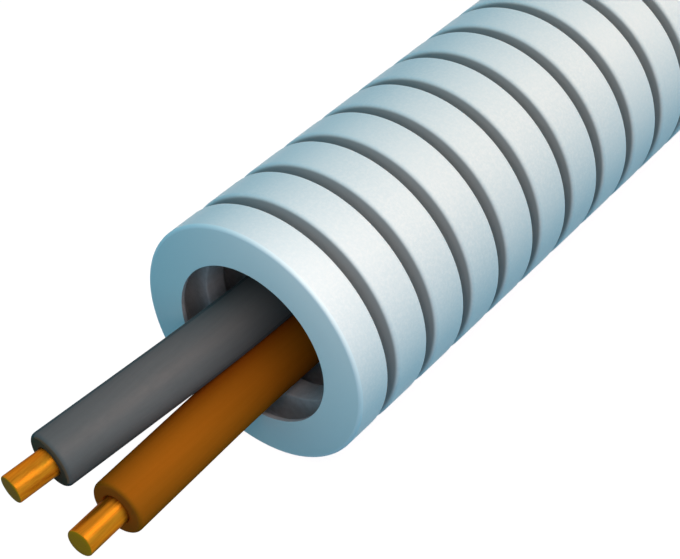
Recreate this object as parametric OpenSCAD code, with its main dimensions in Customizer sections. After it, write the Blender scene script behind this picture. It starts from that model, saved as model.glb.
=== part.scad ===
// Corrugated conduit, 16 mm, cut by the metre with two single-core copper wires already drawn in.
// The conduit lies along +X. The origin is the centre of the conduit's near end face, +Z is up.
// Lengths are in millimetres, angles in degrees.

/* [Conduit] */
// Nominal cut length of the conduit; the cut falls in the groove nearest to it
stock_length = 1000; // [150:50:1200]
// Outside diameter over the crests
outer_diameter = 16; // [15:0.5:20]
// Inside diameter of the narrow rings under the grooves
bore_diameter = 10.7; // [10.5:0.1:11.5]
// Distance from one crest to the next
pitch = 3.7; // [3.2:0.1:5]
// Width of the open groove between two crests, at its mouth
groove_width = 0.9; // [0.7:0.05:1.2]
// Thickness of the plastic, the same all along the wave
wall = 0.45; // [0.3:0.05:0.5]
// How much wider each groove is at its mouth than at its floor, per side
flank_draft = 0.08; // [0:0.01:0.1]
// Rounding of the outer edges of each crest
crest_rounding = 0.2; // [0.1:0.05:0.3]
// How much narrower the cut has left the first and the last crest
cut_loss = 0.23; // [0:0.01:0.4]

/* [Wires] */
// Outside diameter of the plastic insulation
insulation_diameter = 3.55; // [3:0.05:3.8]
// Diameter of the solid copper conductor, 2.5 square millimetres
conductor_diameter = 1.78; // [1.38:0.1:2.3]
// How far the insulation of the grey wire reaches out of the conduit
grey_reach = 12.75; // [6:0.05:40]
// How far the insulation of the brown wire reaches out of the conduit
brown_reach = 11.75; // [2:0.05:40]
// Bare conductor beyond the insulation of the grey wire
grey_bare_length = 2.6; // [1:0.05:12]
// Bare conductor beyond the insulation of the brown wire
brown_bare_length = 2.95; // [1:0.05:12]
// Play between the two wires where they lie along each other
wire_play = 0.09; // [0.05:0.01:0.2]
// Play between a resting wire and the rings of the conduit
bore_play = 0.15; // [0.05:0.05:0.3]

/* [Wires at the mouth] */
// How far to the side of the bore's lowest line the brown wire lies at the mouth
brown_mouth_y = 0.35; // [0.1:0.05:0.5]
// Direction from the brown wire to the grey one at the mouth, counted from +Y towards +Z
grey_side = 63; // [55:1:75]
// Angle that the free end of the grey wire leans away from the conduit's axis
grey_lean = 9; // [1:0.5:15]
// Direction of that lean, counted from +Y towards +Z
grey_lean_side = -35; // [-45:1:0]
// Angle that the free end of the brown wire leans away from the conduit's axis
brown_lean = 2.4; // [0:0.1:4]
// Direction of that lean, counted from +Y towards +Z
brown_lean_side = -172; // [-180:1:-150]
// Where in the mouth both wires start to lean
lean_start = 4; // [2:0.5:5]
// Length of the stretch in which they take up their lean
lean_length = 8; // [6:0.5:9]
// Where in the bore the brown wire starts to move over to its own side
brown_drop_start = 4; // [3:0.5:20]
// Where in the bore the grey wire starts to come down to the brown one's level
grey_drop_start = 12; // [10:0.5:40]
// Length of the stretch in which either wire does so
drop_length = 26; // [20:1:60]

/* [Hidden] */
$fn = 48;
// Sides of a wire's round section, and sections along each of its bends
sides = 24;
bend_steps = 8;

outer_r = outer_diameter / 2;
bore_r = bore_diameter / 2;
crest_width = pitch - groove_width;
groove_count = round((stock_length - crest_width) / pitch);
conduit_length = groove_count * pitch + crest_width - 2 * cut_loss;

// Radius of the groove floors, and of the hollows that the crests leave in the bore
floor_r = bore_r + wall;
inner_crest_r = outer_r - wall;

wire_r = insulation_diameter / 2;
conductor_r = conductor_diameter / 2;
rest_circle_r = bore_r - bore_play - wire_r;
rest_y = (insulation_diameter + wire_play) / 2;
rest_z = -sqrt(rest_circle_r * rest_circle_r - rest_y * rest_y);
brown_mouth_z = -sqrt(rest_circle_r * rest_circle_r - brown_mouth_y * brown_mouth_y);
brown_mouth = [brown_mouth_y, brown_mouth_z];
grey_mouth = brown_mouth + (insulation_diameter + wire_play) * [cos(grey_side), sin(grey_side)];

// Where a crest starts and ends along the conduit; the cuts shorten the first and the last
function crest_left(i) = i == 0 ? 0 : i * pitch - cut_loss;
function crest_right(i) = i == groove_count ? conduit_length : i * pitch - cut_loss + crest_width;

// How far a flank has run outwards from its crest's edge at radius r
function flank_shift(r) = flank_draft * (outer_r - r) / (outer_r - floor_r);

// Outline of one crest from left to right, as points of radius and distance along the conduit
function crest_outline(left, right) = [
    for (turn = [90, 45, 0]) [
        outer_r - crest_rounding + crest_rounding * cos(turn),
        left + crest_rounding - crest_rounding * sin(turn)
    ],
    for (turn = [0, 45, 90]) [
        outer_r - crest_rounding + crest_rounding * cos(turn),
        right - crest_rounding + crest_rounding * sin(turn)
    ]
];

// Outer edges of the two flanks at the floor of the groove to the right of a crest
function groove_outline(left, right) = [
    [floor_r, left + flank_shift(floor_r)],
    [floor_r, right - flank_shift(floor_r)]
];

// Inside of one crest, seen from the bore, from right to left
function cavity_outline(left, right) = [
    [bore_r, right + flank_shift(bore_r) - wall],
    [inner_crest_r, right + flank_shift(inner_crest_r) - wall],
    [inner_crest_r, left - flank_shift(inner_crest_r) + wall],
    [bore_r, left - flank_shift(bore_r) + wall]
];

// Section of the whole wall: out along the crests and back along the bore
wall_section = [
    [bore_r, 0],
    for (i = [0 : groove_count])
        each concat(
            crest_outline(crest_left(i), crest_right(i)),
            i < groove_count ? groove_outline(crest_right(i), crest_left(i + 1)) : []
        ),
    [bore_r, conduit_length],
    for (i = [groove_count : -1 : 0])
        each cavity_outline(crest_left(i), crest_right(i))
];

// Smooth step from 0 to 1 while x goes from start over a length
function ease(x, start, length) =
    let (t = max(0, min(1, (x - start) / length))) t * t * (3 - 2 * t);

// Sideways run of a free end at x: none inside the bend, then straight at a slope of 1
function lean_run(x) =
    let (u = max(0, lean_start - x)) u < lean_length ? u * u / (2 * lean_length) : u - lean_length / 2;

// Point at x on the centre line of a wire that leans out of the mouth and drops inside
function centre(x, mouth, rest, drop_start, lean, lean_side) =
    let (
        across = mouth + (rest - mouth) * ease(x, drop_start, drop_length),
        out = tan(lean) * lean_run(x)
    )
    [x, across.x + out * cos(lean_side), across.y + out * sin(lean_side)];

// Places along the conduit where a wire gets a section: close together only where it bends
function stations(tip_x, drop_start) = [
    tip_x,
    for (i = [0 : bend_steps]) lean_start - lean_length * (1 - i / bend_steps),
    for (i = [0 : bend_steps]) drop_start + drop_length * i / bend_steps,
    conduit_length
];

// Centre lines from a tip outside the mouth to the conduit's far end
function grey_line(tip_x) = [
    for (x = stations(tip_x, grey_drop_start))
        centre(x, grey_mouth, [rest_y, rest_z], grey_drop_start, grey_lean, grey_lean_side)
];
function brown_line(tip_x) = [
    for (x = stations(tip_x, brown_drop_start))
        centre(x, brown_mouth, [-rest_y, rest_z], brown_drop_start, brown_lean, brown_lean_side)
];

// Round section of radius r across the wire that runs through the points before and after it
function ring(centre, before, after, r) =
    let (
        along = (after - before) / norm(after - before),
        side_raw = cross([0, 0, 1], along),
        side = side_raw / norm(side_raw),
        up = cross(along, side)
    )
    [for (k = [0 : sides - 1]) centre + r * (side * cos(k * 360 / sides) + up * sin(k * 360 / sides))];

// Sections of radius r along a line of points
function rings(line, r) = [
    for (i = [0 : len(line) - 1])
        each ring(line[i], line[max(0, i - 1)], line[min(len(line) - 1, i + 1)], r)
];

// Skin between neighbouring sections, whose points start at a given index
function skin(count, first, outward) = [
    for (i = [0 : count - 2], k = [0 : sides - 1])
        let (
            a = first + i * sides + k,
            b = first + i * sides + (k + 1) % sides,
            quad = [a, b, b + sides, a + sides]
        )
        outward ? [quad[3], quad[2], quad[1], quad[0]] : quad
];

// Solid round wire along a line of points
module round_wire(line, r) {
    count = len(line);
    last = (count - 1) * sides;
    polyhedron(
        points = rings(line, r),
        faces = concat(
            skin(count, 0, true),
            [[for (k = [0 : sides - 1]) k]],
            [[for (k = [sides - 1 : -1 : 0]) last + k]]
        )
    );
}

// Tube along a line of points, open at both ends
module round_tube(line, r_out, r_in) {
    count = len(line);
    inner = count * sides;
    last = (count - 1) * sides;
    polyhedron(
        points = concat(rings(line, r_out), rings(line, r_in)),
        faces = concat(
            skin(count, 0, true),
            skin(count, inner, false),
            [for (k = [0 : sides - 1]) let (n = (k + 1) % sides) [k, n, inner + n, inner + k]],
            [for (k = [0 : sides - 1]) let (n = (k + 1) % sides)
                [last + n, last + k, inner + last + k, inner + last + n]]
        )
    );
}

module conduit() {
    color("#e6ecee")
        rotate([0, 90, 0])
            rotate_extrude()
                polygon(wall_section);
}

module grey_wire_insulation() {
    color("#5c5d5e")
        round_tube(grey_line(-grey_reach), wire_r, conductor_r);
}

module grey_wire_conductor() {
    color("#d78432")
        round_wire(grey_line(-grey_reach - grey_bare_length), conductor_r);
}

module brown_wire_insulation() {
    color("#8a4a0a")
        round_tube(brown_line(-brown_reach), wire_r, conductor_r);
}

module brown_wire_conductor() {
    color("#d78432")
        round_wire(brown_line(-brown_reach - brown_bare_length), conductor_r);
}

conduit();
grey_wire_insulation();
grey_wire_conductor();
brown_wire_insulation();
brown_wire_conductor();
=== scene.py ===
import math

import bpy
import numpy as np
from mathutils import Matrix, Vector

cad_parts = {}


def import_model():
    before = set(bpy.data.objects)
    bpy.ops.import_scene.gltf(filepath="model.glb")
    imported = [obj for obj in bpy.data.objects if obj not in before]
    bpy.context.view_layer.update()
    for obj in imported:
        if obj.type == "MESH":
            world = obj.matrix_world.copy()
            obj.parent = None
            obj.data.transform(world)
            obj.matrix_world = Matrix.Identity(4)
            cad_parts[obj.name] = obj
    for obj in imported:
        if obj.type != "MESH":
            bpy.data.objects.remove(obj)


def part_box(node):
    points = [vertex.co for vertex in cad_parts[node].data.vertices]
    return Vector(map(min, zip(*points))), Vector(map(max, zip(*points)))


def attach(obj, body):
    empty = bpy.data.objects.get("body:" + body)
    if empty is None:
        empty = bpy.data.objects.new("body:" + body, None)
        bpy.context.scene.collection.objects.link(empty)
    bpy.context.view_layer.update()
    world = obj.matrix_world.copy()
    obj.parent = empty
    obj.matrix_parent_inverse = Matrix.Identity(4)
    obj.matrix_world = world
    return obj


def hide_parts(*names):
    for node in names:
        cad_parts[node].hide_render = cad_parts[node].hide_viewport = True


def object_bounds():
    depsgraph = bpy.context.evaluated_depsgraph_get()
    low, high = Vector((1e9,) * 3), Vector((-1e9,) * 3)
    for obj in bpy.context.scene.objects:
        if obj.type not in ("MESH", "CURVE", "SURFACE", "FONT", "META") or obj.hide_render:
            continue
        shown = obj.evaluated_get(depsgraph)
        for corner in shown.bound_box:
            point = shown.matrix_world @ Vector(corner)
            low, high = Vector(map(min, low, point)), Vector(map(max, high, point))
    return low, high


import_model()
cad_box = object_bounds()

# The named lengths below are in millimetres, and angles in degrees, unless a comment says otherwise
MM = 0.001

# Sizes of the conduit, as the CAD model has them
OUTER_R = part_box("conduit")[1].y / MM
CONDUIT_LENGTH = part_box("conduit")[1].x / MM
BORE_R = 5.35
PITCH = 3.7
GROOVE_WIDTH = 0.9
WALL = 0.45
FLANK_DRAFT = 0.08
CREST_ROUNDING = 0.2
CUT_LOSS = 0.23
CREST_WIDTH = PITCH - GROOVE_WIDTH
FLOOR_R = BORE_R + WALL
INNER_CREST_R = OUTER_R - WALL
GROOVE_COUNT = round((CONDUIT_LENGTH - CREST_WIDTH + 2 * CUT_LOSS) / PITCH)

# Sizes and places of the wires, as the CAD model has them; places across the conduit are (y, z)
INSULATION_R = 1.775
CONDUCTOR_R = 0.89
WIRE_PLAY = 0.09
BORE_PLAY = 0.15
LEAN_START = 4
LEAN_LENGTH = 8
DROP_LENGTH = 26
BROWN_MOUTH_Y = 0.35
# Direction from the brown wire to the grey one at the mouth, counted from +Y towards +Z
GREY_SIDE = 63
WIRE_SPACING = 2 * INSULATION_R + WIRE_PLAY
REST_CIRCLE_R = BORE_R - BORE_PLAY - INSULATION_R
REST_Y = WIRE_SPACING / 2
REST_Z = -math.sqrt(REST_CIRCLE_R**2 - REST_Y**2)
BROWN_MOUTH = (BROWN_MOUTH_Y, -math.sqrt(REST_CIRCLE_R**2 - BROWN_MOUTH_Y**2))
GREY_MOUTH = (
    BROWN_MOUTH[0] + WIRE_SPACING * math.cos(math.radians(GREY_SIDE)),
    BROWN_MOUTH[1] + WIRE_SPACING * math.sin(math.radians(GREY_SIDE)),
)
GREY_WIRE = {
    "mouth": GREY_MOUTH,
    "rest": (REST_Y, REST_Z),
    "drop_start": 12,
    "lean": 9,
    "lean_side": -35,
    "reach": 12.75,
    "bare": 2.6,
}
BROWN_WIRE = {
    "mouth": BROWN_MOUTH,
    "rest": (-REST_Y, REST_Z),
    "drop_start": 4,
    "lean": 2.4,
    "lean_side": -172,
    "reach": 11.75,
    "bare": 2.95,
}

# Roundings that the CAD model leaves out, and the room between the copper and its insulation
HOLLOW_ROUNDING = 0.12
INSULATION_ROUNDING = 0.28
INSULATION_LIP = 0.08
COPPER_ROUNDING = 0.09
COPPER_ROOM = 0.004

# Fineness of the conduit's skin: sides of its circles, steps of its roundings, crests and stretches
NEAR_SIDES = 160
NEAR_STEPS = 4
NEAR_CRESTS = 22
FAR_SIDES = 56
FAR_STEPS = 2
FAR_STRETCHES = 3
# Distance from a crest's rounding to the edge that keeps the shading of its top flat
CREST_SUPPORT = 0.06
# Faces that meet at a wider angle than this are shaded with a sharp edge
SHARP_ANGLE = 50

# Fineness of the wires' skins: sides of their circles, and circles in each rounding and stretch
INSULATION_SIDES = 64
INSULATION_END_CIRCLES = 6
COPPER_SIDES = 48
COPPER_END_CIRCLES = 5
LEAN_CIRCLES = 25
DROP_CIRCLES = 31
STRAIGHT_CIRCLES = 24
# Radius of the two inner circles on the copper's cut face, as shares of the copper's own
COPPER_FACE_SHARES = (0.01, 0.5)
# Where the straight stretch's circles start, and how near they come to the wire's tip and far end
STRAIGHT_START = 60
TIP_GAP = 0.5
FAR_END_GAP = 1
# Half of the short stretch that gives the heading of a wire at a place
HEADING_STEP = 0.01

# Colours, as linear red, green and blue
WHITE = (0.81, 0.86, 0.875)
WHITE_COOL = (0.77, 0.83, 0.85)
WHITE_SPECK = (0.86, 0.89, 0.895)
# Bluer tint painted on the cut faces as their shade
CUT_FACE_PAINTED_SHADE = (0.75, 0.86, 0.88)
# Pale highlight painted along the cut faces' outer edge
PAINTED_CUT_EDGE_HIGHLIGHT = (0.88, 0.97, 1.0)
# Grey painted into the grooves as their shade
PAINTED_GROOVE_SHADE = (0.35, 0.37, 0.38)
# Inside of the wall painted darker than the outside as shade, and its hollows painted darker still
INSIDE_PAINTED_SHADE = (0.52, 0.55, 0.60)
HOLLOW_PAINTED_SHADE = (0.34, 0.38, 0.42)
GRAIN_SHADE = (0.85, 0.85, 0.85)
GREY = (0.151, 0.141, 0.138)
GREY_LINES = (0.159, 0.149, 0.146)
# Cut-end colour of the grey insulation: painted shade tone, warmed against the cool light that falls on
# it
GREY_CUT_PAINTED_SHADE = (0.20, 0.125, 0.078)
BROWN = (0.458, 0.114, 0.006)
BROWN_LINES = (0.482, 0.121, 0.007)
# Cut-end colour of the brown insulation: painted shade tone
BROWN_CUT_PAINTED_SHADE = (0.48, 0.115, 0.012)
COPPER = (0.40, 0.138, 0.007)
COPPER_LINES = (0.51, 0.198, 0.012)
COPPER_STAIN = (0.22, 0.14, 0.010)
COPPER_CUT = (0.185, 0.138, 0.006)
COPPER_TINT = (0.20, 0.22, 0.02)
BLACK = (0.0, 0.0, 0.0)

# Metallic share of the two insulations, which gives their broad sheen
GREY_SHEEN = 0.30
BROWN_SHEEN = 0.10

# Depths below the top of the crests where the grooves' grey painted shade starts and is full
GROOVE_SHADE_START = 0.04
GROOVE_SHADE_FULL = 0.3
# Depths below the top of the crests where the painted highlight along a cut face's edge starts and is
# full
EDGE_HIGHLIGHT_START = 0.26
EDGE_HIGHLIGHT_FULL = 0.14
# Heights over the bore's rings where the hollows' painted shade starts and is full
HOLLOW_SHADE_START = 0.1
HOLLOW_SHADE_FULL = 0.9

# Sockets of Blender's mix node for a factor and two colours, and the one for the mixed colour
MIX_INPUTS = (0, 6, 7)
MIX_OUTPUT = 2

# Camera: where it stands, and the point next to the conduit's axis that it looks at
CAMERA_PLACE = (-51.32, -46.65, 66.44)
CAMERA_AIM = (7.63, -0.53, 0.0)
CAMERA_LENS = 88.25
CAMERA_SENSOR = 36
# Nearest and farthest that it sees, in metres
CAMERA_NEAREST = 0.002
CAMERA_FARTHEST = 50

# Distance from the middle of the square floor to its sides, in metres
FLOOR_REACH = 6.0
# Colour of the floor for the light that it throws on the object
FLOOR_SHADE = (0.07, 0.17, 0.28)
# Colours of the floor that the camera sees: what takes light and shadow, and what glows
FLOOR_PALE = (0.42, 0.34, 0.30)
FLOOR_GLOW = (1.0, 0.95, 0.95)
FLOOR_GLOW_STRENGTH = 0.95
# Colours of the world: the soft light on the object, and what the camera and reflections see
SOFT_LIGHT = (0.07, 0.415, 0.55)
FULL_WHITE = (1.0, 1.0, 1.0)

# Strip lamps: turn about the conduit from +Y towards +Z, distance from its axis, and width
KEY_TURN = 124.7
KEY_DISTANCE = 25
KEY_WIDTH = 12
BACK_TURN = -10
BACK_DISTANCE = 19
BACK_WIDTH = 8
# Where along the conduit the long strips end, and where the strip at the mouth starts
STRIP_END = 1010
MOUTH_STRIP_START = -22
# Width of the fill lamps as an angle, seen from the object
FILL_ANGLE = 70


def new_object(name, data):
    """An object of the scene that shows a mesh, a lamp or a camera."""
    holder = bpy.data.objects.new(name, data)
    bpy.context.collection.objects.link(holder)
    return holder


def camera():
    """Camera that looks at the near end from in front, above and the side."""
    data = bpy.data.cameras.new("camera")
    data.lens = CAMERA_LENS
    data.sensor_width = CAMERA_SENSOR
    data.clip_start = CAMERA_NEAREST
    data.clip_end = CAMERA_FARTHEST
    holder = new_object("camera", data)
    place = Vector(CAMERA_PLACE) * MM
    holder.location = place
    holder.rotation_euler = (Vector(CAMERA_AIM) * MM - place).to_track_quat("-Z", "Y").to_euler()
    bpy.context.scene.camera = holder


# Mesh helpers


def mesh_piece(name, points, faces, material):
    """A piece of the object from points in millimetres; it rides on the one body."""
    mesh = bpy.data.meshes.new(name)
    mesh.from_pydata((np.asarray(points) * MM).tolist(), [], faces)
    mesh.validate()
    mesh.shade_smooth()
    mesh.set_sharp_from_angle(angle=math.radians(SHARP_ANGLE))
    piece = new_object(name, mesh)
    mesh.materials.append(material)
    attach(piece, "root")
    return piece


def grid_faces(rows, columns, wrap_rows):
    """Quads between neighbouring circles of points; wrap_rows joins the last circle to the first."""
    faces = []
    for row in range(rows if wrap_rows else rows - 1):
        here = row * columns
        there = ((row + 1) % rows) * columns
        for k in range(columns):
            after = (k + 1) % columns
            faces.append((here + k, here + after, there + after, there + k))
    return faces


def directions(sides):
    """Cosines and sines of the directions from a circle's middle to its points."""
    turns = np.arange(sides) * 2 * np.pi / sides
    return np.cos(turns), np.sin(turns)


# Conduit


def flank_shift(radius):
    """How far a flank has run outwards from its crest's edge at a radius."""
    return FLANK_DRAFT * (OUTER_R - radius) / (OUTER_R - FLOOR_R)


def crest_left(i):
    """Where a crest starts along the conduit; the cut shortens the first."""
    return 0 if i == 0 else i * PITCH - CUT_LOSS


def crest_right(i):
    """Where a crest ends along the conduit; the cut shortens the last."""
    return CONDUIT_LENGTH if i == GROOVE_COUNT else i * PITCH - CUT_LOSS + CREST_WIDTH


def arc(centre_x, centre_r, radius, start, end, steps):
    """Points of an arc in the section; angles count from outwards (0) towards +X (90)."""
    for step in range(steps + 1):
        turn = math.radians(start + (end - start) * step / steps)
        yield (centre_x + radius * math.sin(turn), centre_r + radius * math.cos(turn))


def outer_section(first, last, steps):
    """The outside of the wall from the first crest to the last, as (x, radius)."""
    points = []
    centre_r = OUTER_R - CREST_ROUNDING
    shift = flank_shift(FLOOR_R)
    for i in range(first, last + 1):
        left = crest_left(i) + CREST_ROUNDING
        right = crest_right(i) - CREST_ROUNDING
        points += arc(left, centre_r, CREST_ROUNDING, -90, 0, steps)
        points.append((left + CREST_SUPPORT, OUTER_R))
        points.append((right - CREST_SUPPORT, OUTER_R))
        points += arc(right, centre_r, CREST_ROUNDING, 0, 90, steps)
        if i < last:
            points.append((crest_right(i) + shift, FLOOR_R))
            points.append((crest_left(i + 1) - shift, FLOOR_R))
    return points


def inner_section(first, last, steps):
    """The inside of the wall from the last crest back to the first, as (x, radius)."""
    points = []
    rounding = HOLLOW_ROUNDING
    slant = flank_shift(BORE_R) - flank_shift(INNER_CREST_R)
    for i in range(last, first - 1, -1):
        right = crest_right(i) + flank_shift(BORE_R) - WALL
        left = crest_left(i) - flank_shift(BORE_R) + WALL
        for edge, side in ((right, 1), (left, -1)):
            lip_x = edge + side * rounding
            lip = arc(lip_x, BORE_R + rounding, rounding, 180, 180 + side * 90, steps)
            hollow_x = edge - side * slant - side * rounding
            hollow = arc(hollow_x, INNER_CREST_R - rounding, rounding, side * 90, 0, steps)
            flank = list(lip) + list(hollow)
            points += flank if side > 0 else flank[::-1]
    return points


def conduit_stretch(name, first, last, sides, steps, outside, inside):
    """A closed stretch of the wall, cut in the middle of a groove floor where it isn't an end."""
    outer = outer_section(first, last, steps)
    inner = inner_section(first, last, steps // 2)
    head = [(0, BORE_R)]
    if first > 0:
        middle = crest_left(first) - GROOVE_WIDTH / 2
        flank_foot = crest_left(first) - flank_shift(FLOOR_R)
        head = [(middle, BORE_R), (middle, FLOOR_R), (flank_foot, FLOOR_R)]
    tail = [(CONDUIT_LENGTH, BORE_R)]
    if last < GROOVE_COUNT:
        middle = crest_right(last) + GROOVE_WIDTH / 2
        flank_foot = crest_right(last) + flank_shift(FLOOR_R)
        tail = [(flank_foot, FLOOR_R), (middle, FLOOR_R), (middle, BORE_R)]
    section = np.array(head + outer + tail + inner)
    cosines, sines = directions(sides)
    x = np.repeat(section[:, 0], sides)
    y = (section[:, 1][:, None] * cosines).ravel()
    z = (section[:, 1][:, None] * sines).ravel()
    faces = grid_faces(len(section), sides, True)
    piece = mesh_piece(name, np.stack([x, y, z], 1), faces, outside)
    piece.data.materials.append(inside)
    skins = np.zeros(len(faces), dtype=np.int32)
    skins[(len(section) - len(inner)) * sides :] = 1
    piece.data.polygons.foreach_set("material_index", skins)
    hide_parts("conduit")


def conduit(outside, inside):
    """The whole conduit: a finer stretch at the mouth, and coarser ones behind it."""
    conduit_stretch("conduit_near", 0, NEAR_CRESTS - 1, NEAR_SIDES, NEAR_STEPS, outside, inside)
    far_crests = (GROOVE_COUNT + 1 - NEAR_CRESTS) // FAR_STRETCHES
    for i in range(FAR_STRETCHES):
        first = NEAR_CRESTS + i * far_crests
        last = GROOVE_COUNT if i == FAR_STRETCHES - 1 else first + far_crests - 1
        conduit_stretch(f"conduit_far_{i + 1}", first, last, FAR_SIDES, FAR_STEPS, outside, inside)


# Wires


def ease(x, start, length):
    """Smooth step from 0 to 1 while x goes from start over a length."""
    share = max(0.0, min(1.0, (x - start) / length))
    return share * share * (3 - 2 * share)


def lean_run(x):
    """Sideways run of a free end at x: none inside the bend, then straight at a slope of 1."""
    run = max(0.0, LEAN_START - x)
    return run * run / (2 * LEAN_LENGTH) if run < LEAN_LENGTH else run - LEAN_LENGTH / 2


def centre(x, wire):
    """Point at x on the centre line of a wire."""
    mouth, rest = wire["mouth"], wire["rest"]
    drop = ease(x, wire["drop_start"], DROP_LENGTH)
    out = math.tan(math.radians(wire["lean"])) * lean_run(x)
    side = math.radians(wire["lean_side"])
    y = mouth[0] + (rest[0] - mouth[0]) * drop + out * math.cos(side)
    z = mouth[1] + (rest[1] - mouth[1]) * drop + out * math.sin(side)
    return np.array([x, y, z])


def circle(x, radius, shift, wire, sides):
    """Circle of points across a wire at x, moved on along the wire by a small shift."""
    ahead = centre(x + HEADING_STEP, wire) - centre(x - HEADING_STEP, wire)
    ahead /= np.linalg.norm(ahead)
    side = np.cross([0, 0, 1], ahead)
    side /= np.linalg.norm(side)
    up = np.cross(ahead, side)
    cosines, sines = directions(sides)
    middle = centre(x, wire) + ahead * shift
    return middle + radius * (cosines[:, None] * side + sines[:, None] * up)


def stations(start_x, wire):
    """Places where a wire gets a circle: close together where it bends."""
    bends = list(np.linspace(LEAN_START - LEAN_LENGTH, LEAN_START, LEAN_CIRCLES))
    drop_start = wire["drop_start"]
    drops = list(np.linspace(drop_start, drop_start + DROP_LENGTH, DROP_CIRCLES))
    straight = list(np.linspace(STRAIGHT_START, CONDUIT_LENGTH - FAR_END_GAP, STRAIGHT_CIRCLES))
    return [x for x in sorted(set(bends + drops + straight)) if x > start_x + TIP_GAP]


def rounded_end(start, radius, rounding, count):
    """The rounded edge of a wire's cut end, as (x, radius, shift) of its circles."""
    route = []
    for turn in np.linspace(0, 90, count):
        angle = math.radians(turn)
        shift = rounding - rounding * math.cos(angle)
        route.append((start, radius - rounding + rounding * math.sin(angle), shift))
    return route


def insulation(name, node, wire, material):
    """The insulation as a closed tube with rounded cut edges."""
    start = -wire["reach"]
    between = stations(start, wire)
    bevel = INSULATION_ROUNDING / 2
    route = rounded_end(start, INSULATION_R, INSULATION_ROUNDING, INSULATION_END_CIRCLES)
    route += [(x, INSULATION_R, 0.0) for x in between]
    route.append((CONDUIT_LENGTH, INSULATION_R, -bevel))
    route.append((CONDUIT_LENGTH, INSULATION_R - bevel, 0.0))
    route.append((CONDUIT_LENGTH, CONDUCTOR_R + INSULATION_LIP, 0.0))
    route.append((CONDUIT_LENGTH, CONDUCTOR_R, -INSULATION_LIP))
    route += [(x, CONDUCTOR_R, 0.0) for x in reversed(between)]
    route.append((start, CONDUCTOR_R, 2 * INSULATION_LIP))
    route.append((start, CONDUCTOR_R + INSULATION_LIP, 0.0))
    circles = [circle(x, radius, shift, wire, INSULATION_SIDES) for x, radius, shift in route]
    faces = grid_faces(len(circles), INSULATION_SIDES, True)
    piece = mesh_piece(name, np.concatenate(circles), faces, material)
    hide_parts(node)


def conductor(name, node, wire, material):
    """The copper core as a closed rod with a cut end that is rounded at its edge."""
    start = -wire["reach"] - wire["bare"]
    skin_r = CONDUCTOR_R - COPPER_ROOM
    route = [(start, skin_r * share, 0.0) for share in COPPER_FACE_SHARES]
    route += rounded_end(start, skin_r, COPPER_ROUNDING, COPPER_END_CIRCLES)
    route += [(x, skin_r, 0.0) for x in stations(start, wire)]
    route.append((CONDUIT_LENGTH, skin_r, -COPPER_ROUNDING))
    route.append((CONDUIT_LENGTH, skin_r - COPPER_ROUNDING, 0.0))
    route.append((CONDUIT_LENGTH, skin_r * COPPER_FACE_SHARES[0], 0.0))
    circles = [circle(x, radius, shift, wire, COPPER_SIDES) for x, radius, shift in route]
    faces = grid_faces(len(circles), COPPER_SIDES, False)
    last = (len(circles) - 1) * COPPER_SIDES
    faces.append(tuple(range(COPPER_SIDES))[::-1])
    faces.append(tuple(last + k for k in range(COPPER_SIDES)))
    piece = mesh_piece(name, np.concatenate(circles), faces, material)
    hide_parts(node)


# Materials


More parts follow.
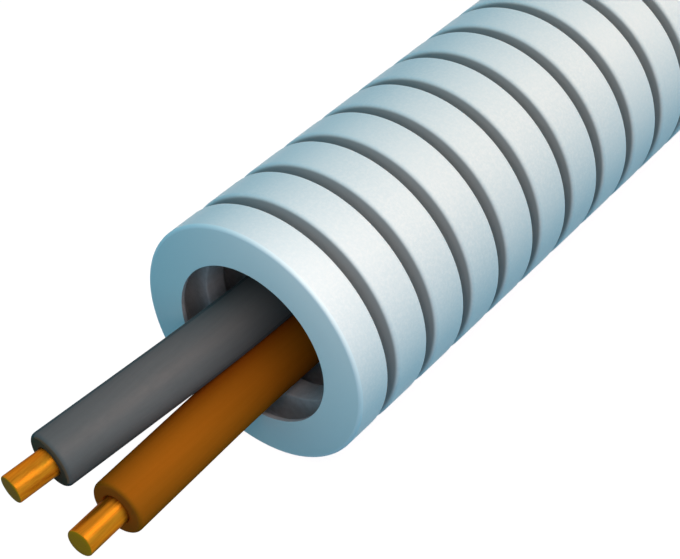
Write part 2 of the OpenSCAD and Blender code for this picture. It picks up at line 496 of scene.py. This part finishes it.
class Nodes:
    """Short ways to add and join the nodes of one material; a node's result is (node, output)."""

    def __init__(self, name):
        self.material = bpy.data.materials.new(name)
        self.material.use_nodes = True
        self.tree = self.material.node_tree
        self.tree.nodes.clear()
        self.shader = self.add("ShaderNodeBsdfPrincipled")
        output = self.add("ShaderNodeOutputMaterial")
        self.feed(output.inputs["Surface"], (self.shader, "BSDF"))
        self.place = self.add("ShaderNodeTexCoord")

    def add(self, kind, **settings):
        """A new node with its settings."""
        node = self.tree.nodes.new(kind)
        for name, value in settings.items():
            setattr(node, name, value)
        return node

    def feed(self, socket, value):
        """Gives a socket a number, a colour or a node's result."""
        if isinstance(value, tuple) and hasattr(value[0], "outputs"):
            self.tree.links.new(value[0].outputs[value[1]], socket)
        elif isinstance(value, tuple):
            socket.default_value = (*value, 1)
        else:
            socket.default_value = value

    def math(self, operation, a, b, clamp=False):
        """A maths node; a and b are numbers or results."""
        node = self.add("ShaderNodeMath", operation=operation, use_clamp=clamp)
        self.feed(node.inputs[0], a)
        self.feed(node.inputs[1], b)
        return (node, 0)

    def mix(self, factor, a, b, blend="MIX"):
        """A colour mix; factor is a number or a result, a and b are colours or results."""
        node = self.add("ShaderNodeMix", data_type="RGBA", blend_type=blend)
        for socket, value in zip(MIX_INPUTS, (factor, a, b)):
            self.feed(node.inputs[socket], value)
        return (node, MIX_OUTPUT)

    def step(self, value, start, full):
        """0 up to start and 1 from full on, smooth between; full may be the smaller number."""
        node = self.add("ShaderNodeMapRange", interpolation_type="SMOOTHSTEP")
        self.feed(node.inputs["Value"], value)
        self.feed(node.inputs["From Min"], start)
        self.feed(node.inputs["From Max"], full)
        return (node, "Result")

    def noise(self, scale, detail, roughness, stretch=(1, 1, 1)):
        """Noise in cycles per millimetre; a share below 1 in stretch draws it out along that axis."""
        mapping = self.add("ShaderNodeMapping")
        mapping.inputs["Scale"].default_value = [share / MM for share in stretch]
        self.feed(mapping.inputs["Vector"], (self.place, "Object"))
        node = self.add("ShaderNodeTexNoise")
        self.feed(node.inputs["Vector"], (mapping, "Vector"))
        self.feed(node.inputs["Scale"], scale)
        self.feed(node.inputs["Detail"], detail)
        self.feed(node.inputs["Roughness"], roughness)
        return (node, "Fac")

    def radius(self):
        """Distance from the conduit's axis, in millimetres."""
        flat = self.add("ShaderNodeVectorMath", operation="MULTIPLY")
        flat.inputs[1].default_value = (0, 1 / MM, 1 / MM)
        self.feed(flat.inputs[0], (self.place, "Object"))
        length = self.add("ShaderNodeVectorMath", operation="LENGTH")
        self.feed(length.inputs[0], (flat, "Vector"))
        return (length, "Value")

    def along(self, coordinate):
        """The part along the conduit of the place on the object, in metres, or of the normal there."""
        split = self.add("ShaderNodeSeparateXYZ")
        self.feed(split.inputs["Vector"], (self.place, coordinate))
        return (split, "X")

    def facing_back(self):
        """How far the surface faces back along the conduit, from 0 to 1."""
        return self.math("MULTIPLY", self.along("Normal"), -1.0, clamp=True)

    def colour(self, value):
        self.feed(self.shader.inputs["Base Color"], value)

    def roughness(self, pattern, low, high):
        """Roughness that goes from low to high with a pattern."""
        self.feed(self.shader.inputs["Roughness"], self.mix(pattern, (low,) * 3, (high,) * 3))

    def bump(self, height, distance, strength):
        """Bump whose height runs from 0 to 1 over a distance in millimetres."""
        node = self.add("ShaderNodeBump")
        self.feed(node.inputs["Height"], height)
        self.feed(node.inputs["Distance"], distance * MM)
        self.feed(node.inputs["Strength"], strength)
        self.feed(self.shader.inputs["Normal"], (node, "Normal"))


def conduit_plastic():
    """White plastic with a fine speckle, grey painted shade in the grooves, and at the cuts a bluer
    painted shade with a pale painted highlight along the edge.
    """
    nodes = Nodes("conduit_plastic")
    speckle = nodes.noise(scale=5.0, detail=3, roughness=0.65)
    cloud = nodes.noise(scale=0.12, detail=3, roughness=0.5)
    surface = nodes.mix(nodes.step(cloud, 0.35, 0.7), WHITE, WHITE_COOL)
    surface = nodes.mix(nodes.step(speckle, 0.35, 0.75), surface, WHITE_SPECK)
    place = nodes.along("Object")
    past_near = nodes.math("GREATER_THAN", place, CREST_ROUNDING * MM)
    before_far = nodes.math("LESS_THAN", place, (CONDUIT_LENGTH - CREST_ROUNDING) * MM)
    between_cuts = nodes.math("MULTIPLY", past_near, before_far)
    radius = nodes.radius()
    # Painted shade: grey in the grooves below the crests, except at the cut ends
    groove_shade_mask = nodes.step(radius, OUTER_R - GROOVE_SHADE_START, OUTER_R - GROOVE_SHADE_FULL)
    surface = nodes.mix(nodes.math("MULTIPLY", groove_shade_mask, between_cuts), surface, PAINTED_GROOVE_SHADE)
    at_cut = nodes.math("SUBTRACT", 1.0, between_cuts)
    # Painted shade: a bluer tint on the cut faces
    surface = nodes.mix(at_cut, surface, CUT_FACE_PAINTED_SHADE)
    # Painted highlight: a pale line along the outer edge of the cut faces
    edge_highlight_mask = nodes.step(radius, OUTER_R - EDGE_HIGHLIGHT_START, OUTER_R - EDGE_HIGHLIGHT_FULL)
    nodes.colour(nodes.mix(nodes.math("MULTIPLY", edge_highlight_mask, at_cut), surface, PAINTED_CUT_EDGE_HIGHLIGHT))
    nodes.roughness(nodes.step(speckle, 0.2, 0.8), low=0.48, high=0.58)
    nodes.shader.inputs["Specular IOR Level"].default_value = 0.25
    nodes.bump(speckle, distance=0.012, strength=0.6)
    return nodes.material


def inner_plastic():
    """The inside of the wall, with painted shade: rings darker than the outside but paler than the
    greyer hollows behind the crests.
    """
    nodes = Nodes("inner_plastic")
    grain = nodes.noise(scale=2.2, detail=4, roughness=0.65)
    # Painted shade: the inside darker than the outside, the hollows darker than the rings
    hollow_shade_mask = nodes.step(nodes.radius(), BORE_R + HOLLOW_SHADE_START, BORE_R + HOLLOW_SHADE_FULL)
    surface = nodes.mix(hollow_shade_mask, INSIDE_PAINTED_SHADE, HOLLOW_PAINTED_SHADE)
    nodes.colour(nodes.mix(nodes.step(grain, 0.3, 0.7), surface, GRAIN_SHADE, "MULTIPLY"))
    nodes.roughness(nodes.step(grain, 0.2, 0.8), low=0.45, high=0.60)
    nodes.shader.inputs["Specular IOR Level"].default_value = 0.3
    nodes.bump(grain, distance=0.01, strength=0.5)
    return nodes.material


def insulation_plastic(name, colour, line_colour, cut_shade_colour, sheen):
    """Soft PVC with faint drawing lines, a broad sheen without a bright rim, and a cut end in its own
    colour, painted as it looks in shade.
    """
    nodes = Nodes(name)
    lines = nodes.noise(scale=5.0, detail=3, roughness=0.6, stretch=(0.03, 1, 1))
    grain = nodes.noise(scale=3.0, detail=4, roughness=0.6)
    side = nodes.mix(nodes.step(lines, 0.3, 0.7), colour, line_colour)
    # Painted shade: the cut end that faces back takes its own colour
    nodes.colour(nodes.mix(nodes.step(nodes.facing_back(), 0.8, 0.97), side, cut_shade_colour))
    nodes.roughness(nodes.step(grain, 0.2, 0.8), low=0.56, high=0.64)
    nodes.shader.inputs["Specular IOR Level"].default_value = 0.0
    nodes.shader.inputs["Metallic"].default_value = sheen
    nodes.shader.inputs["Specular Tint"].default_value = (*BLACK, 1)
    nodes.bump(grain, distance=0.006, strength=0.5)
    return nodes.material


def copper():
    """Drawn copper with fine lines along the wire, tarnished olive in streaks, and dark olive on its cut
    end.
    """
    nodes = Nodes("copper")
    lines = nodes.noise(scale=9.0, detail=3, roughness=0.6, stretch=(0.04, 1, 1))
    stain = nodes.noise(scale=0.8, detail=3, roughness=0.5, stretch=(0.3, 1, 1))
    line_step = nodes.step(lines, 0.3, 0.7)
    side = nodes.mix(line_step, COPPER, COPPER_LINES)
    side = nodes.mix(nodes.step(stain, 0.52, 0.70), side, COPPER_STAIN)
    nodes.colour(nodes.mix(nodes.step(nodes.facing_back(), 0.6, 0.9), side, COPPER_CUT))
    nodes.roughness(line_step, low=0.34, high=0.44)
    nodes.shader.inputs["Metallic"].default_value = 0.9
    nodes.shader.inputs["Specular Tint"].default_value = (*COPPER_TINT, 1)
    nodes.bump(lines, distance=0.008, strength=0.6)
    return nodes.material


# Studio


def seen_directly(nodes, links):
    """1 for what the camera sees, also in reflections and through glass, and 0 for other light."""
    paths = nodes.new("ShaderNodeLightPath")
    total = paths.outputs["Is Camera Ray"]
    for ray in ("Is Glossy Ray", "Is Transmission Ray"):
        node = nodes.new("ShaderNodeMath")
        node.operation = "MAXIMUM"
        links.new(total, node.inputs[0])
        links.new(paths.outputs[ray], node.inputs[1])
        total = node.outputs[0]
    return total


def floor():
    """Floor that throws a little cool light on the object, and looks white with a faint shadow."""
    z = cad_box[0].z
    quarters = ((-1, -1), (1, -1), (1, 1), (-1, 1))
    corners = [(x * FLOOR_REACH, y * FLOOR_REACH, z) for x, y in quarters]
    mesh = bpy.data.meshes.new("floor")
    mesh.from_pydata(corners, [], [(0, 1, 2, 3)])
    plane = new_object("floor", mesh)
    material = bpy.data.materials.new("floor")
    material.use_nodes = True
    nodes, links = material.node_tree.nodes, material.node_tree.links
    nodes.clear()
    output = nodes.new("ShaderNodeOutputMaterial")
    shade = nodes.new("ShaderNodeBsdfDiffuse")
    shade.inputs["Color"].default_value = (*FLOOR_SHADE, 1)
    pale = nodes.new("ShaderNodeBsdfDiffuse")
    pale.inputs["Color"].default_value = (*FLOOR_PALE, 1)
    glow = nodes.new("ShaderNodeEmission")
    glow.inputs["Color"].default_value = (*FLOOR_GLOW, 1)
    glow.inputs["Strength"].default_value = FLOOR_GLOW_STRENGTH
    white = nodes.new("ShaderNodeAddShader")
    links.new(pale.outputs[0], white.inputs[0])
    links.new(glow.outputs[0], white.inputs[1])
    both = nodes.new("ShaderNodeMixShader")
    links.new(seen_directly(nodes, links), both.inputs["Fac"])
    links.new(shade.outputs[0], both.inputs[1])
    links.new(white.outputs[0], both.inputs[2])
    links.new(both.outputs[0], output.inputs["Surface"])
    mesh.materials.append(material)


def world():
    """White to the camera and in reflections, and a soft cool light for the rest."""
    studio = bpy.data.worlds.new("studio")
    bpy.context.scene.world = studio
    studio.use_nodes = True
    nodes, links = studio.node_tree.nodes, studio.node_tree.links
    nodes.clear()
    output = nodes.new("ShaderNodeOutputWorld")
    both = nodes.new("ShaderNodeMixShader")
    links.new(seen_directly(nodes, links), both.inputs["Fac"])
    for socket, colour in ((1, SOFT_LIGHT), (2, FULL_WHITE)):
        background = nodes.new("ShaderNodeBackground")
        background.inputs["Color"].default_value = (*colour, 1)
        background.inputs["Strength"].default_value = 1.0
        links.new(background.outputs[0], both.inputs[socket])
    links.new(both.outputs[0], output.inputs["Surface"])


def fill_lamp(name, strength, colour, towards):
    """A weak and broad distant lamp; the direction points from the object to it."""
    data = bpy.data.lights.new(name, "SUN")
    data.energy = strength
    data.angle = math.radians(FILL_ANGLE)
    data.color = colour
    holder = new_object(name, data)
    holder.rotation_euler = Vector(towards).to_track_quat("Z", "Y").to_euler()


def strip_lamp(name, radiance, colour, turn, distance, width, first_x, last_x):
    """A strip softbox along the conduit from first_x to last_x, which the camera doesn't see."""
    data = bpy.data.lights.new(name, "AREA")
    data.shape = "RECTANGLE"
    data.size = (last_x - first_x) * MM
    data.size_y = width * MM
    data.energy = radiance * math.pi * data.size * data.size_y
    data.color = colour
    holder = new_object(name, data)
    along = Vector((1, 0, 0))
    out = Vector((0, math.cos(math.radians(turn)), math.sin(math.radians(turn))))
    across = out.cross(along)
    place = (out * distance + along * (first_x + last_x) / 2) * MM
    turned = Matrix((along, across, out)).transposed().to_4x4()
    holder.matrix_world = Matrix.Translation(place) @ turned
    holder.visible_camera = False


def lamps():
    """Warm strips on the camera's side and behind, and two weak fills, one warm and one cool."""
    key = (KEY_TURN, KEY_DISTANCE, KEY_WIDTH)
    back = (BACK_TURN, BACK_DISTANCE, BACK_WIDTH)
    strip_lamp("key", 2.45, (1.0, 0.585, 0.39), *key, 0, STRIP_END)
    strip_lamp("key_mouth", 3.95, (1.0, 0.70, 0.59), *key, MOUTH_STRIP_START, 0)
    fill_lamp("fill_left", 0.40, (1.0, 0.22, 0.0), towards=(0.5, 0.7, 0.5))
    strip_lamp("back", 1.0, (1.0, 0.60, 0.40), *back, 0, STRIP_END)
    fill_lamp("fill_right", 0.49, (0.24, 0.8, 1.0), towards=(0.5, -0.85, 0.05))


camera()
bpy.context.scene.view_settings.view_transform = "Standard"
floor()
world()
lamps()

conduit(conduit_plastic(), inner_plastic())
grey = insulation_plastic("grey_insulation", GREY, GREY_LINES, GREY_CUT_PAINTED_SHADE, GREY_SHEEN)
brown = insulation_plastic("brown_insulation", BROWN, BROWN_LINES, BROWN_CUT_PAINTED_SHADE, BROWN_SHEEN)
core = copper()
insulation("grey_insulation_skin", "grey_wire_insulation", GREY_WIRE, grey)
insulation("brown_insulation_skin", "brown_wire_insulation", BROWN_WIRE, brown)
conductor("grey_wire_core", "grey_wire_conductor", GREY_WIRE, core)
conductor("brown_wire_core", "brown_wire_conductor", BROWN_WIRE, core)
